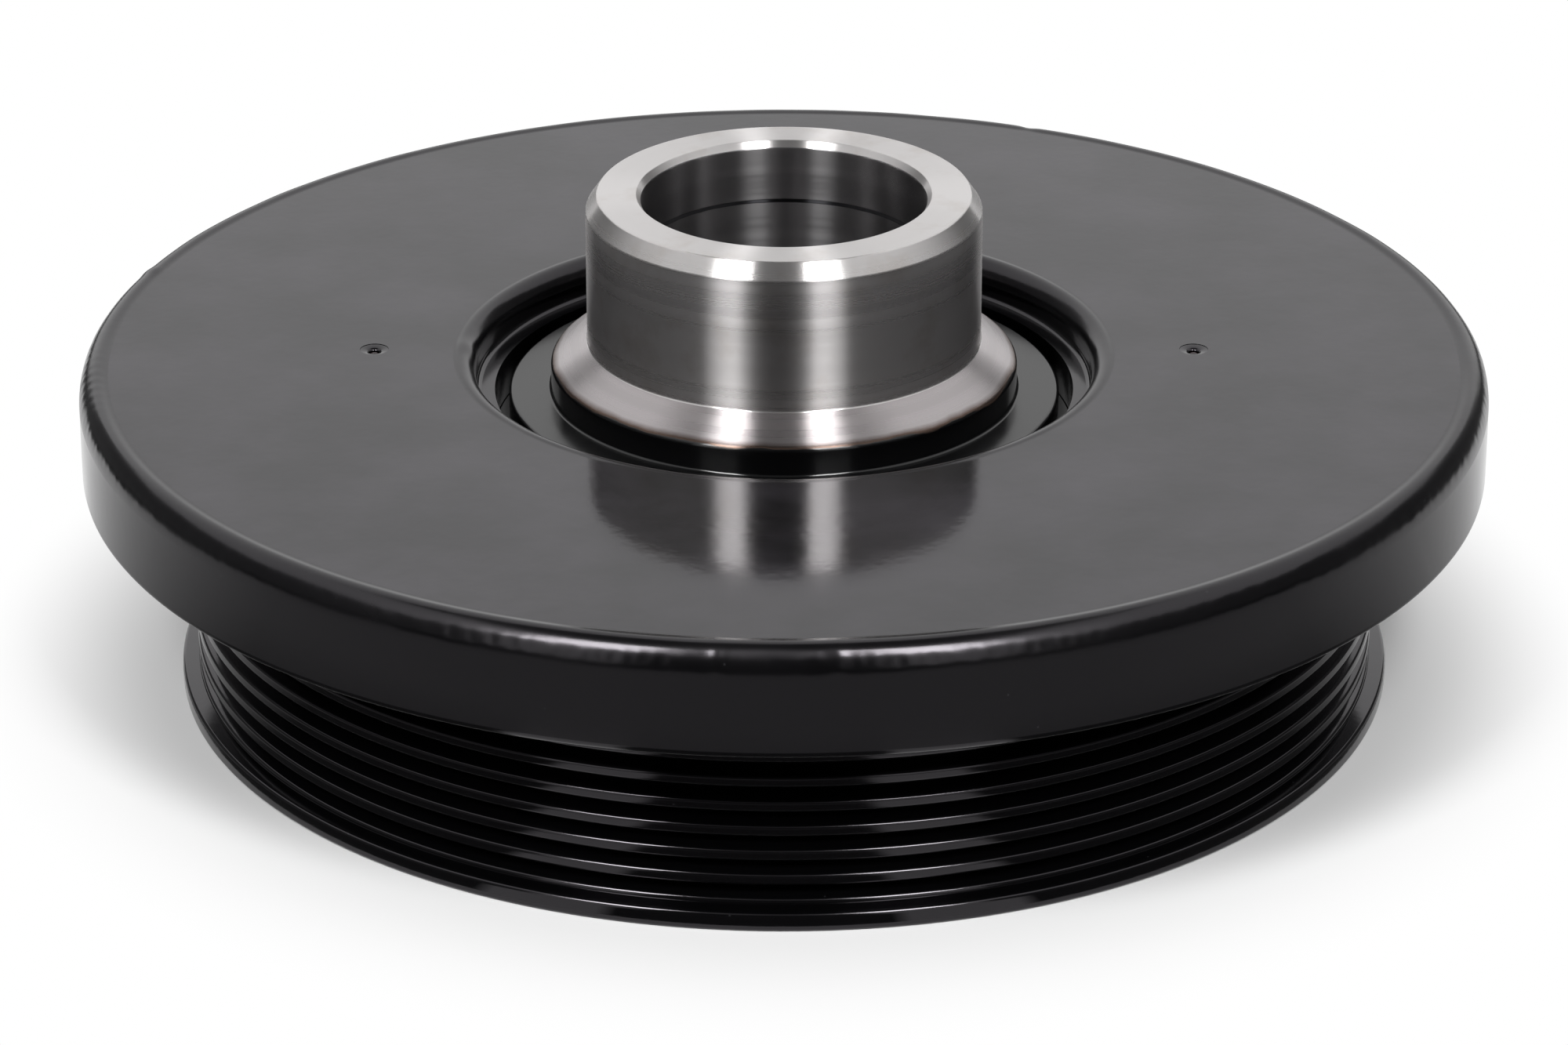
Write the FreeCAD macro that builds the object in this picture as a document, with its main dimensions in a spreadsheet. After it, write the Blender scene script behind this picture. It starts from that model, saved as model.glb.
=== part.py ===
import FreeCAD, Part
import math
import os
import re
import Sketcher

# Crankshaft harmonic balancer: a sealed ring damper and a six-groove belt pulley on one steel hub.
# The engine's axis is Z. The origin lies on it, in the plane of the pulley's front edge, on which
# the balancer stands, and the hub's ground snout points up, towards the engine.

DOC = FreeCAD.newDocument("harmonic_balancer")

# Driving dimensions, in millimetres and degrees
SIZES = {
    "overall_height": 70.0,
    "running_fit": 0.1,
    # Belt pulley
    "groove_count": 6,
    "groove_pitch": 3.56,
    "groove_angle": 40.0,
    "groove_depth": 2.6,
    "crest_radius": 83.2,
    "crest_width": 1.1,
    "crest_bevel": 0.25,
    "rim_margin": 4.6,
    "rim_flange_rise": 2.3,
    "rim_flange_width": 2.6,
    "rim_flange_taper": 0.4,
    "rim_flange_round": 0.5,
    "rim_wall": 4.1,
    "rim_bevel": 1.0,
    "web_setback": 17.2,
    "web_thickness": 5.0,
    "web_round": 2.5,
    # Pulley bolts
    "bolt_count": 6,
    "bolt_circle_radius": 45.0,
    "bolt_shank_radius": 4.0,
    "bolt_length": 12.0,
    "bolt_hole_radius": 4.5,
    "bolt_head_height": 8.0,
    "bolt_hex_width": 13.0,
    "bolt_flange_radius": 8.5,
    "bolt_flange_height": 1.6,
    "bolt_bevel": 0.8,
    "tapped_depth": 8.0,
    # Hub
    "bore_radius": 19.5,
    "bore_bevel_width": 0.7,
    "bore_bevel_height": 1.0,
    "bore_relief": 0.3,
    "bore_relief_depth": 9.0,
    "snout_radius": 27.5,
    "snout_bevel_width": 1.6,
    "snout_bevel_height": 2.3,
    "seal_land_length": 19.0,
    "shoulder_height": 3.4,
    "collar_radius": 32.6,
    "collar_height": 4.0,
    "collar_round": 0.5,
    "hub_face_radius": 38.5,
    "pilot_radius": 40.4,
    "pilot_height": 4.0,
    "hub_flange_radius": 60.0,
    "hub_flange_thickness": 9.0,
    "spigot_radius": 30.0,
    "spigot_length": 10.2,
    "spigot_bevel": 1.0,
    "clamp_recess_radius": 24.5,
    "clamp_recess_depth": 2.0,
    "hub_seam_leg": 3.0,
    # Damper housing and cover
    "damper_radius": 98.2,
    "damper_height": 15.3,
    "lip_radius": 43.1,
    "ledge_drop": 5.2,
    "ledge_round": 0.8,
    "floor_thickness": 3.2,
    "outer_wall": 6.7,
    "inner_wall": 8.5,
    "housing_round": 1.2,
    "cover_thickness": 4.0,
    "rebate_depth": 1.2,
    "outer_seam_width": 4.0,
    "inner_seam_width": 3.0,
    # Inertia ring and its plastic bearings
    "shear_gap": 0.3,
    "bush_thickness": 1.6,
    "slide_ring_width": 4.5,
    "slide_ring_thickness": 1.1,
    # Fill ports
    "port_circle_radius": 57.3,
    "port_radius": 2.0,
    "port_sink": 0.25,
    "sleeve_length": 3.5,
    "sleeve_wall": 0.6,
    "sleeve_floor": 0.7,
}

# Heights that several pieces share, from the driving dimensions
RIM_WIDTH = "2 * rim_margin + (groove_count - 1) * groove_pitch"
WEB_TOP = "web_setback + web_thickness"
DAMPER_BASE = WEB_TOP + " + hub_flange_thickness"
DAMPER_TOP = DAMPER_BASE + " + damper_height"
COVER_SEAT = DAMPER_TOP + " - cover_thickness"
CHAMBER_FLOOR = DAMPER_BASE + " + floor_thickness"
LEDGE = DAMPER_TOP + " - ledge_drop"
LAND_TOP = "overall_height - snout_bevel_height"
LAND_BASE = LAND_TOP + " - seal_land_length"
COLLAR_TOP = LAND_BASE + " - shoulder_height"
HUB_FACE = COLLAR_TOP + " - collar_height"
PILOT_TOP = DAMPER_BASE + " + pilot_height"
NOSE_FACE = WEB_TOP + " - spigot_length"
CLAMP_FACE = NOSE_FACE + " + clamp_recess_depth"
RELIEF_BASE = "overall_height - bore_relief_depth"

# Radii that several pieces share
HOUSING_BORE = "pilot_radius + running_fit"
CHAMBER_INNER = HOUSING_BORE + " + inner_wall"
CHAMBER_OUTER = "damper_radius - outer_wall"
COVER_OUTER = "damper_radius - outer_seam_width"
COVER_INNER = "lip_radius + inner_seam_width"
BUSH_INNER = CHAMBER_INNER + " + running_fit"
BUSH_OUTER = BUSH_INNER + " + bush_thickness"
RING_BORE = BUSH_OUTER + " + running_fit"
SLIDE_OUTER = RING_BORE + " + slide_ring_width"
FLANGE_RADIUS = "crest_radius + rim_flange_rise"
GROOVE_ROOT = "crest_radius - groove_depth"
RIM_INNER = GROOVE_ROOT + " - rim_wall"
GROOVE_TOP_HALF = "(groove_pitch - crest_width) / 2"
FLANK_SLOPE = "tan(groove_angle / 2 * 1 deg)"
GROOVE_NECK_HALF = GROOVE_TOP_HALF + " - crest_bevel"
GROOVE_ROOT_HALF = GROOVE_NECK_HALF + " - (groove_depth - crest_bevel) * " + FLANK_SLOPE
RELIEF_RADIUS = "bore_radius + bore_relief"

MATHS = ("tan", "cos", "sin", "sqrt", "deg")


def make_sheet():
    """Writes the driving dimensions into the sheet, one named cell each."""
    sheet = DOC.addObject("Spreadsheet::Sheet", "Sizes")
    for row, (name, value) in enumerate(SIZES.items(), start=1):
        sheet.set("A%d" % row, name)
        sheet.set("B%d" % row, str(value))
        sheet.setAlias("B%d" % row, name)
    DOC.recompute()
    return sheet


SHEET = make_sheet()


def bound(rule):
    """The rule with each of its size names pointed at its cell in the sheet."""
    def cell(match):
        word = match.group(0)
        return word if word in MATHS else "Sizes." + word
    return re.sub(r"[a-z][a-z_]*", cell, rule)


def value_of(rule):
    """The rule's value with the sheet's present numbers."""
    result = SHEET.evalExpression(bound(rule))
    return float(getattr(result, "Value", result))


def make_body(name):
    """An empty body with its own name and place."""
    body = DOC.addObject("PartDesign::Body", name)
    body.Label = name
    body.Placement = FreeCAD.Placement()
    return body


def origin_feature(body, role):
    """The body's own origin plane or axis of that role."""
    return [item for item in body.Origin.OriginFeatures if item.Role == role][0]


def new_sketch(body, name, role, height=None):
    """A sketch on one of the body's origin planes, lifted by a height where one is given."""
    sketch = body.newObject("Sketcher::SketchObject", name)
    sketch.AttachmentSupport = [(origin_feature(body, role), "")]
    sketch.MapMode = "FlatFace"
    if height:
        sketch.setExpression("AttachmentOffset.Base.z", bound(height))
    return sketch


def arc_between(start, end, radius):
    """An arc from start to end, counter-clockwise if the radius is positive, else clockwise."""
    middle = (start + end) * 0.5
    chord = end - start
    reach = math.sqrt(max(radius ** 2 - (chord.Length / 2) ** 2, 0.0))
    side = FreeCAD.Vector(-chord.y, chord.x, 0).normalize()
    centre = middle + side * (reach if radius > 0 else -reach)
    first, last = (start, end) if radius > 0 else (end, start)
    angles = [math.atan2(point.y - centre.y, point.x - centre.x) for point in (first, last)]
    circle = Part.Circle(centre, FreeCAD.Vector(0, 0, 1), abs(radius))
    return Part.ArcOfCircle(circle, angles[0], angles[1])


def section(body, name, corners, arcs=None):
    """A closed half section through the axis, its corners given as (radius, height) rules.

    Corners that share a rule with the one before share its line, so each rule drives one dimension.
    arcs gives the edges that are round: edge number to (radius rule, 1 or -1 for its turn)."""
    arcs = arcs or {}
    sketch = new_sketch(body, name, "XZ_Plane")
    points = [FreeCAD.Vector(value_of(r), value_of(z), 0) for r, z in corners]
    count = len(corners)
    for edge in range(count):
        start, end = points[edge], points[(edge + 1) % count]
        if edge in arcs:
            rule, turn = arcs[edge]
            sketch.addGeometry(arc_between(start, end, value_of(rule) * turn))
        else:
            sketch.addGeometry(Part.LineSegment(start, end))
    starts = [2 if edge in arcs and arcs[edge][1] < 0 else 1 for edge in range(count)]
    for edge in range(count):
        following = (edge + 1) % count
        sketch.addConstraint(Sketcher.Constraint(
            "Coincident", edge, 3 - starts[edge], following, starts[following]))
    for edge, (radius, height) in enumerate(corners):
        before = corners[edge - 1]
        straight = (edge - 1) % count not in arcs and edge > 0
        if straight and radius == before[0]:
            sketch.addConstraint(Sketcher.Constraint("Vertical", edge - 1))
        else:
            place_corner(sketch, "DistanceX", -2, edge, starts[edge], radius)
        if straight and height == before[1]:
            sketch.addConstraint(Sketcher.Constraint("Horizontal", edge - 1))
        else:
            place_corner(sketch, "DistanceY", -1, edge, starts[edge], height)
    for edge, (rule, _) in arcs.items():
        number = sketch.addConstraint(Sketcher.Constraint("Radius", edge, value_of(rule)))
        sketch.setExpression("Constraints[%d]" % number, bound(rule))
    return sketch


def place_corner(sketch, kind, axis, edge, end, rule):
    """Holds one corner at its distance from the origin, or on the axis where that is nought."""
    if rule == "0":
        sketch.addConstraint(Sketcher.Constraint("PointOnObject", edge, end, axis))
        return
    number = sketch.addConstraint(Sketcher.Constraint(kind, -1, 1, edge, end, value_of(rule)))
    sketch.setExpression("Constraints[%d]" % number, bound(rule))


def circle_sketch(body, name, centre, radius, height=None):
    """A circle on the X axis of a level plane, at a distance and with a radius from the sheet."""
    sketch = new_sketch(body, name, "XY_Plane", height)
    middle = FreeCAD.Vector(value_of(centre), 0, 0)
    sketch.addGeometry(Part.Circle(middle, FreeCAD.Vector(0, 0, 1), value_of(radius)))
    place_corner(sketch, "DistanceX", -2, 0, 3, centre)
    sketch.addConstraint(Sketcher.Constraint("PointOnObject", 0, 3, -1))
    number = sketch.addConstraint(Sketcher.Constraint("Radius", 0, value_of(radius)))
    sketch.setExpression("Constraints[%d]" % number, bound(radius))
    return sketch


def hexagon_sketch(body, name, width):
    """A regular hexagon round the axis, with its width across flats from the sheet."""
    sketch = new_sketch(body, name, "XY_Plane")
    reach = "%s / sqrt(3)" % width
    radius = value_of(reach)
    corners = [FreeCAD.Vector(radius * math.cos(math.radians(60 * turn)),
                              radius * math.sin(math.radians(60 * turn)), 0) for turn in range(6)]
    for turn in range(6):
        sketch.addGeometry(Part.LineSegment(corners[turn], corners[(turn + 1) % 6]))
    ring = sketch.addGeometry(Part.Circle(FreeCAD.Vector(), FreeCAD.Vector(0, 0, 1), radius), True)
    sketch.addConstraint(Sketcher.Constraint("Coincident", ring, 3, -1, 1))
    for turn in range(6):
        sketch.addConstraint(Sketcher.Constraint("Coincident", turn, 2, (turn + 1) % 6, 1))
        sketch.addConstraint(Sketcher.Constraint("PointOnObject", turn, 1, ring))
    for turn in range(5):
        sketch.addConstraint(Sketcher.Constraint("Equal", turn, turn + 1))
    sketch.addConstraint(Sketcher.Constraint("PointOnObject", 0, 1, -1))
    number = sketch.addConstraint(Sketcher.Constraint("Radius", ring, radius))
    sketch.setExpression("Constraints[%d]" % number, bound(reach))
    return sketch


def revolve(body, name, sketch, kind="Revolution"):
    """The section turned a full turn about the axis, as material or as a cut."""
    feature = body.newObject("PartDesign::" + kind, name)
    feature.Profile = sketch
    feature.ReferenceAxis = (sketch, ["V_Axis"])
    feature.Angle = 360.0
    sketch.Visibility = False
    DOC.recompute()
    return feature


def extrude(body, name, sketch, length, kind="Pad", upwards=True):
    """The sketch drawn up or down by a length from the sheet, as material or as a cut."""
    feature = body.newObject("PartDesign::" + kind, name)
    feature.Profile = sketch
    feature.setExpression("Length", bound(length))
    feature.Reversed = upwards == (kind == "Pocket")
    sketch.Visibility = False
    DOC.recompute()
    return feature


def round_edges(body, name, places, radius):
    """Rounds the circular edges that lie at the given (radius, height) rules."""
    base = body.Tip
    wanted = [(value_of(r), value_of(z)) for r, z in places]
    edges = []
    for number, edge in enumerate(base.Shape.Edges, start=1):
        curve = edge.Curve
        if not isinstance(curve, Part.Circle) or math.hypot(curve.Center.x, curve.Center.y) > 0.001:
            continue
        for r, z in wanted:
            if abs(curve.Radius - r) < 0.001 and abs(curve.Center.z - z) < 0.001:
                edges.append("Edge%d" % number)
    feature = body.newObject("PartDesign::Fillet", name)
    feature.Base = (base, edges)
    feature.setExpression("Radius", bound(radius))
    DOC.recompute()
    return feature


def polar_copies(body, name, feature, count):
    """Even copies of a feature round the axis."""
    pattern = body.newObject("PartDesign::PolarPattern", name)
    pattern.Originals = [feature]
    pattern.Axis = (origin_feature(body, "Z_Axis"), [""])
    pattern.Angle = 360.0
    pattern.setExpression("Occurrences", bound(count))
    body.Tip = pattern
    DOC.recompute()
    return pattern


def belt_pulley():
    """The belt pulley: a turned rim with ribbed-belt grooves, on a flat web bolted to the hub."""
    body = make_body("belt_pulley")
    web_bore = "spigot_radius + running_fit"
    blank = section(body, "PulleyBlank", [
        (web_bore, "web_setback"),
        (RIM_INNER, "web_setback"),
        (RIM_INNER, "rim_bevel"),
        (RIM_INNER + " + rim_bevel", "0"),
        (FLANGE_RADIUS, "0"),
        (FLANGE_RADIUS, "rim_flange_width"),
        ("crest_radius", "rim_flange_width + rim_flange_taper"),
        ("crest_radius", RIM_WIDTH + " - crest_bevel"),
        ("crest_radius - crest_bevel", RIM_WIDTH),
        (RIM_INNER + " + rim_bevel", RIM_WIDTH),
        (RIM_INNER, RIM_WIDTH + " - rim_bevel"),
        (RIM_INNER, WEB_TOP),
        (web_bore, WEB_TOP),
    ])
    revolve(body, "PulleyTurned", blank)
    round_edges(body, "WebRound", [(RIM_INNER, "web_setback"), (RIM_INNER, WEB_TOP)], "web_round")
    flange_edges = [(FLANGE_RADIUS, "0"), (FLANGE_RADIUS, "rim_flange_width")]
    round_edges(body, "FlangeRound", flange_edges, "rim_flange_round")
    neck = "crest_radius - crest_bevel"
    groove = section(body, "GrooveSection", [
        (GROOVE_ROOT, "rim_margin - (%s)" % GROOVE_ROOT_HALF),
        (neck, "rim_margin - (%s)" % GROOVE_NECK_HALF),
        ("crest_radius", "rim_margin - (%s)" % GROOVE_TOP_HALF),
        (FLANGE_RADIUS, "rim_margin - (%s)" % GROOVE_TOP_HALF),
        (FLANGE_RADIUS, "rim_margin + %s" % GROOVE_TOP_HALF),
        ("crest_radius", "rim_margin + %s" % GROOVE_TOP_HALF),
        (neck, "rim_margin + %s" % GROOVE_NECK_HALF),
        (GROOVE_ROOT, "rim_margin + %s" % GROOVE_ROOT_HALF),
    ])
    cut = revolve(body, "BeltGroove", groove, "Groove")
    row = body.newObject("PartDesign::LinearPattern", "BeltGrooves")
    row.Originals = [cut]
    row.Direction = (origin_feature(body, "Z_Axis"), [""])
    row.setExpression("Length", bound("(groove_count - 1) * groove_pitch"))
    row.setExpression("Occurrences", bound("groove_count"))
    body.Tip = row
    DOC.recompute()
    hole = circle_sketch(body, "BoltHoleCircle", "bolt_circle_radius", "bolt_hole_radius", "web_setback")
    drilled = extrude(body, "BoltHole", hole, "web_thickness", "Pocket")
    polar_copies(body, "BoltHoles", drilled, "bolt_count")
    return body


def hub():
    """The hub: one turned forging, from the ground snout for the oil seal to the front spigot."""
    body = make_body("hub")
    turned = section(body, "HubSection", [
        ("bore_radius", CLAMP_FACE + " + bore_bevel_height"),
        ("bore_radius + bore_bevel_width", CLAMP_FACE),
        ("clamp_recess_radius", CLAMP_FACE),
        ("clamp_recess_radius", NOSE_FACE),
        ("spigot_radius - spigot_bevel", NOSE_FACE),
        ("spigot_radius", NOSE_FACE + " + spigot_bevel"),
        ("spigot_radius", WEB_TOP),
        ("hub_flange_radius", WEB_TOP),
        ("hub_flange_radius", DAMPER_BASE),
        ("pilot_radius", DAMPER_BASE),
        ("pilot_radius", PILOT_TOP),
        ("hub_face_radius", PILOT_TOP),
        ("hub_face_radius", HUB_FACE),
        ("collar_radius", HUB_FACE),
        ("collar_radius", COLLAR_TOP),
        ("snout_radius", LAND_BASE),
        ("snout_radius", LAND_TOP),
        ("snout_radius - snout_bevel_width", "overall_height"),
        (RELIEF_RADIUS + " + bore_bevel_width", "overall_height"),
        (RELIEF_RADIUS, "overall_height - bore_bevel_height"),
        (RELIEF_RADIUS, RELIEF_BASE + " + bore_relief"),
        ("bore_radius", RELIEF_BASE),
    ])
    revolve(body, "HubTurned", turned)
    worn_edges = [("collar_radius", COLLAR_TOP), ("hub_face_radius", HUB_FACE), ("collar_radius", HUB_FACE)]
    round_edges(body, "CollarRound", worn_edges, "collar_round")
    hole = circle_sketch(body, "TappedCircle", "bolt_circle_radius",
                         "bolt_shank_radius + running_fit / 2", WEB_TOP)
    tapped = extrude(body, "TappedHole", hole, "tapped_depth", "Pocket")
    polar_copies(body, "TappedHoles", tapped, "bolt_count")
    return body


def damper_housing():
    """The housing: a ring channel, open at the top, with rebates that locate the cover."""
    body = make_body("damper_housing")
    rim_top = COVER_SEAT + " + rebate_depth"
    profile = section(body, "HousingSection", [
        (HOUSING_BORE, DAMPER_BASE),
        ("damper_radius", DAMPER_BASE),
        ("damper_radius", DAMPER_TOP + " - outer_seam_width"),
        (COVER_OUTER, rim_top),
        (COVER_OUTER, COVER_SEAT),
        (CHAMBER_OUTER, COVER_SEAT),
        (CHAMBER_OUTER, CHAMBER_FLOOR),
        (CHAMBER_INNER, CHAMBER_FLOOR),
        (CHAMBER_INNER, COVER_SEAT),
        (COVER_INNER, COVER_SEAT),
        (COVER_INNER, rim_top),
        ("lip_radius", DAMPER_TOP + " - inner_seam_width"),
        ("lip_radius", LEDGE),
        (HOUSING_BORE, LEDGE),
    ])
    revolve(body, "HousingTurned", profile)
    round_edges(body, "HousingRound", [("damper_radius", DAMPER_BASE)], "housing_round")
    round_edges(body, "LedgeRound", [("lip_radius", LEDGE)], "ledge_round")
    return body


def damper_cover():
    """The cover: a flat ring plate with the two fill ports on opposite sides."""
    body = make_body("damper_cover")
    plate = section(body, "CoverSection", [
        (COVER_INNER + " + running_fit", COVER_SEAT),
        (COVER_OUTER + " - running_fit", COVER_SEAT),
        (COVER_OUTER + " - running_fit", DAMPER_TOP),
        (COVER_INNER + " + running_fit", DAMPER_TOP),
    ])
    revolve(body, "CoverPlate", plate)
    port = circle_sketch(body, "PortCircle", "port_circle_radius", "port_radius", COVER_SEAT)
    drilled = extrude(body, "FillPort", port, "cover_thickness", "Pocket")
    pattern = body.newObject("PartDesign::PolarPattern", "FillPorts")
    pattern.Originals = [drilled]
    pattern.Axis = (origin_feature(body, "Z_Axis"), [""])
    pattern.Angle = 360.0
    pattern.Occurrences = 2
    body.Tip = pattern
    DOC.recompute()
    return body


def weld_seams():
    """The three beads: two that seal the cover's edges, and one under the floor at the hub's flange."""
    rim_top = COVER_SEAT + " + rebate_depth"
    outer = make_body("outer_weld_seam")
    bead = section(outer, "OuterBead", [
        (COVER_OUTER + " - running_fit", DAMPER_TOP),
        (COVER_OUTER + " - running_fit", rim_top),
        (COVER_OUTER, rim_top),
        ("damper_radius", DAMPER_TOP + " - outer_seam_width"),
        (COVER_OUTER, DAMPER_TOP),
    ], {3: ("outer_seam_width", 1)})
    revolve(outer, "OuterSeam", bead)
    inner = make_body("inner_weld_seam")
    bead = section(inner, "InnerBead", [
        (COVER_INNER + " + running_fit", DAMPER_TOP),
        (COVER_INNER, DAMPER_TOP),
        ("lip_radius", DAMPER_TOP + " - inner_seam_width"),
        (COVER_INNER, rim_top),
        (COVER_INNER + " + running_fit", rim_top),
    ], {1: ("inner_seam_width", 1)})
    revolve(inner, "InnerSeam", bead)
    lower = make_body("hub_weld_seam")
    bead = section(lower, "HubBead", [
        ("hub_flange_radius", DAMPER_BASE),
        ("hub_flange_radius", DAMPER_BASE + " - hub_seam_leg"),
        ("hub_flange_radius + hub_seam_leg", DAMPER_BASE),
    ], {1: ("hub_seam_leg * 1.6", 1)})
    revolve(lower, "HubSeam", bead)
    return [outer, inner, lower]


def inertia_ring():
    """The inertia ring: it floats in the chamber, with a recess in each face for a slide ring."""
    body = make_body("inertia_ring")
    bottom = CHAMBER_FLOOR + " + shear_gap"
    top = COVER_SEAT + " - shear_gap"
    recess = SLIDE_OUTER + " + running_fit"
    profile = section(body, "RingSection", [
        (RING_BORE, CHAMBER_FLOOR + " + slide_ring_thickness"),
        (recess, CHAMBER_FLOOR + " + slide_ring_thickness"),
        (recess, bottom),
        (CHAMBER_OUTER + " - shear_gap", bottom),
        (CHAMBER_OUTER + " - shear_gap", top),
        (recess, top),
        (recess, COVER_SEAT + " - slide_ring_thickness"),
        (RING_BORE, COVER_SEAT + " - slide_ring_thickness"),
    ])
    revolve(body, "RingTurned", profile)
    return body


def plastic_rings():
    """The bush that centres the inertia ring, and the two slide rings that hold it off the walls."""
    rings = []
    places = {
        "bearing_bush": (BUSH_INNER, BUSH_OUTER, CHAMBER_FLOOR, COVER_SEAT),
        "lower_slide_ring": (RING_BORE, SLIDE_OUTER, CHAMBER_FLOOR,
                             CHAMBER_FLOOR + " + slide_ring_thickness"),
        "upper_slide_ring": (RING_BORE, SLIDE_OUTER,
                             COVER_SEAT + " - slide_ring_thickness", COVER_SEAT),
    }
    for name, (inner, outer, bottom, top) in places.items():
        body = make_body(name)
        strip = section(body, "RingStrip", [(inner, bottom), (outer, bottom), (outer, top), (inner, top)])
        revolve(body, "RingMoulded", strip)
        rings.append(body)
    return rings


def fill_plug(side, direction):
    """One fill port's closure: a cup-shaped sleeve in the port, with a ball pressed into it."""
    sleeve = make_body("fill_sleeve_" + side)
    inside = "port_radius - sleeve_wall"
    cup = section(sleeve, "SleeveSection", [
        ("0", "0"),
        ("port_radius", "0"),
        ("port_radius", "sleeve_length"),
        (inside, "sleeve_length"),
        (inside, "sleeve_floor"),
        ("0", "sleeve_floor"),
    ])
    revolve(sleeve, "SleeveTurned", cup)
    base = DAMPER_TOP + " - port_sink - sleeve_length"
    sleeve.setExpression("Placement.Base.x", bound("%d * port_circle_radius" % direction))
    sleeve.setExpression("Placement.Base.z", bound(base))
    ball = DOC.addObject("Part::Sphere", "fill_ball_" + side)
    ball.Label = "fill_ball_" + side
    ball.setExpression("Radius", bound(inside))
    ball.setExpression("Placement.Base.x", bound("%d * port_circle_radius" % direction))
    ball.setExpression("Placement.Base.z", bound(base + " + sleeve_floor + port_radius - sleeve_wall"))
    return [sleeve, ball]


def pulley_bolt(number):
    """One flange bolt, head down in the pulley's dish and its shank up in the hub's flange."""
    body = make_body("pulley_bolt_%d" % number)
    hexagon = hexagon_sketch(body, "HeadHexagon", "bolt_hex_width")
    extrude(body, "Head", hexagon, "bolt_head_height - bolt_flange_height / 2")
    tip = "bolt_head_height + bolt_length"
    profile = section(body, "ShankSection", [
        ("0", "bolt_head_height - bolt_flange_height"),
        ("bolt_flange_radius", "bolt_head_height - bolt_flange_height"),
        ("bolt_flange_radius", "bolt_head_height"),
        ("bolt_shank_radius", "bolt_head_height"),
        ("bolt_shank_radius", tip + " - bolt_bevel"),
        ("bolt_shank_radius - bolt_bevel", tip),
        ("0", tip),
    ])
    revolve(body, "Shank", profile)
    corner = section(body, "HeadBevelSection", [
        ("bolt_hex_width / 2 - bolt_bevel / 4", "0"),
        ("bolt_hex_width / sqrt(3) + bolt_bevel", "0"),
        ("bolt_hex_width / sqrt(3) + bolt_bevel", "bolt_bevel * 1.2"),
    ])
    revolve(body, "HeadBevel", corner, "Groove")
    turn = "(%d * 360 / bolt_count) * 1 deg" % (number - 1)
    body.setExpression("Placement.Base.x", bound("bolt_circle_radius * cos(%s)" % turn))
    body.setExpression("Placement.Base.y", bound("bolt_circle_radius * sin(%s)" % turn))
    body.setExpression("Placement.Base.z", bound("web_setback - bolt_head_height"))
    return body


def build():
    """Makes every piece of the balancer."""
    pieces = [hub(), damper_housing(), damper_cover(), inertia_ring(), belt_pulley()]
    pieces += weld_seams()
    pieces += plastic_rings()
    for side, direction in (("left", -1), ("right", 1)):
        pieces += fill_plug(side, direction)
    for number in range(1, int(value_of("bolt_count")) + 1):
        pieces.append(pulley_bolt(number))
    DOC.recompute()
    return pieces


def check(pieces):
    """Stops before anything is written if a feature failed or a piece isn't a sound solid."""
    for item in DOC.Objects:
        if "Invalid" in item.State or "Error" in item.State:
            raise RuntimeError("%s of %s failed: %s" % (item.Name, item.Label, item.State))
    for piece in pieces:
        shape = piece.Shape
        if shape.isNull() or not shape.isValid() or len(shape.Solids) != 1:
            raise RuntimeError("%s is not one sound solid" % piece.Label)


PIECES = build()
check(PIECES)
os.makedirs("parts", exist_ok=True)
for PIECE in PIECES:
    PIECE.Shape.exportStep(os.path.join("parts", PIECE.Label + ".step"))
    print("%-18s %9.1f mm3" % (PIECE.Label, PIECE.Shape.Volume))
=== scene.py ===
import math

import bpy
from mathutils import Matrix, Vector, noise


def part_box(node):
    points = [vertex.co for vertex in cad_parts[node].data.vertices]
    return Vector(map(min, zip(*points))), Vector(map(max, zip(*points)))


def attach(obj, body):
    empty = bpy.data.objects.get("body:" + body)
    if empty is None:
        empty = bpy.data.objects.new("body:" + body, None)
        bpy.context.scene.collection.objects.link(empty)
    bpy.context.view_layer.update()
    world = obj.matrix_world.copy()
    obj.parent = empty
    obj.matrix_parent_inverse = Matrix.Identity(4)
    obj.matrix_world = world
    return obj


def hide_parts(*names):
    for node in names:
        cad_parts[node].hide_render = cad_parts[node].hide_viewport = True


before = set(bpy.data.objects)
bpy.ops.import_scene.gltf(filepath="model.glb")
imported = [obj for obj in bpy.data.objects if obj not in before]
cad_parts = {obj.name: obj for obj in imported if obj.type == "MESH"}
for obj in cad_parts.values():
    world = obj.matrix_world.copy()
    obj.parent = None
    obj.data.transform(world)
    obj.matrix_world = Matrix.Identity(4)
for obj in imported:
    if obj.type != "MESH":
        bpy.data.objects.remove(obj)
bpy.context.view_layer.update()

# Crankshaft harmonic balancer, standing on its pulley's rim with the ground snout up. The axis is Z.
# Outlines are in millimetres from the axis and from the floor, as on a turning drawing.

# Camera: a long lens that looks down on the balancer from the front and isn't turned sideways.
camera_place = (0.0, -0.77127, 0.36794)
camera_tilt = math.radians(65.712)
camera_lens = 137.11

camera_data = bpy.data.cameras.new("studio_camera")
camera_data.lens = camera_lens
camera_data.clip_start = 0.01
camera = bpy.data.objects.new("studio_camera", camera_data)
camera.location = camera_place
camera.rotation_euler = (camera_tilt, 0, 0)
bpy.context.scene.collection.objects.link(camera)
bpy.context.scene.camera = camera
bpy.context.scene.view_settings.view_transform = "Standard"

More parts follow.
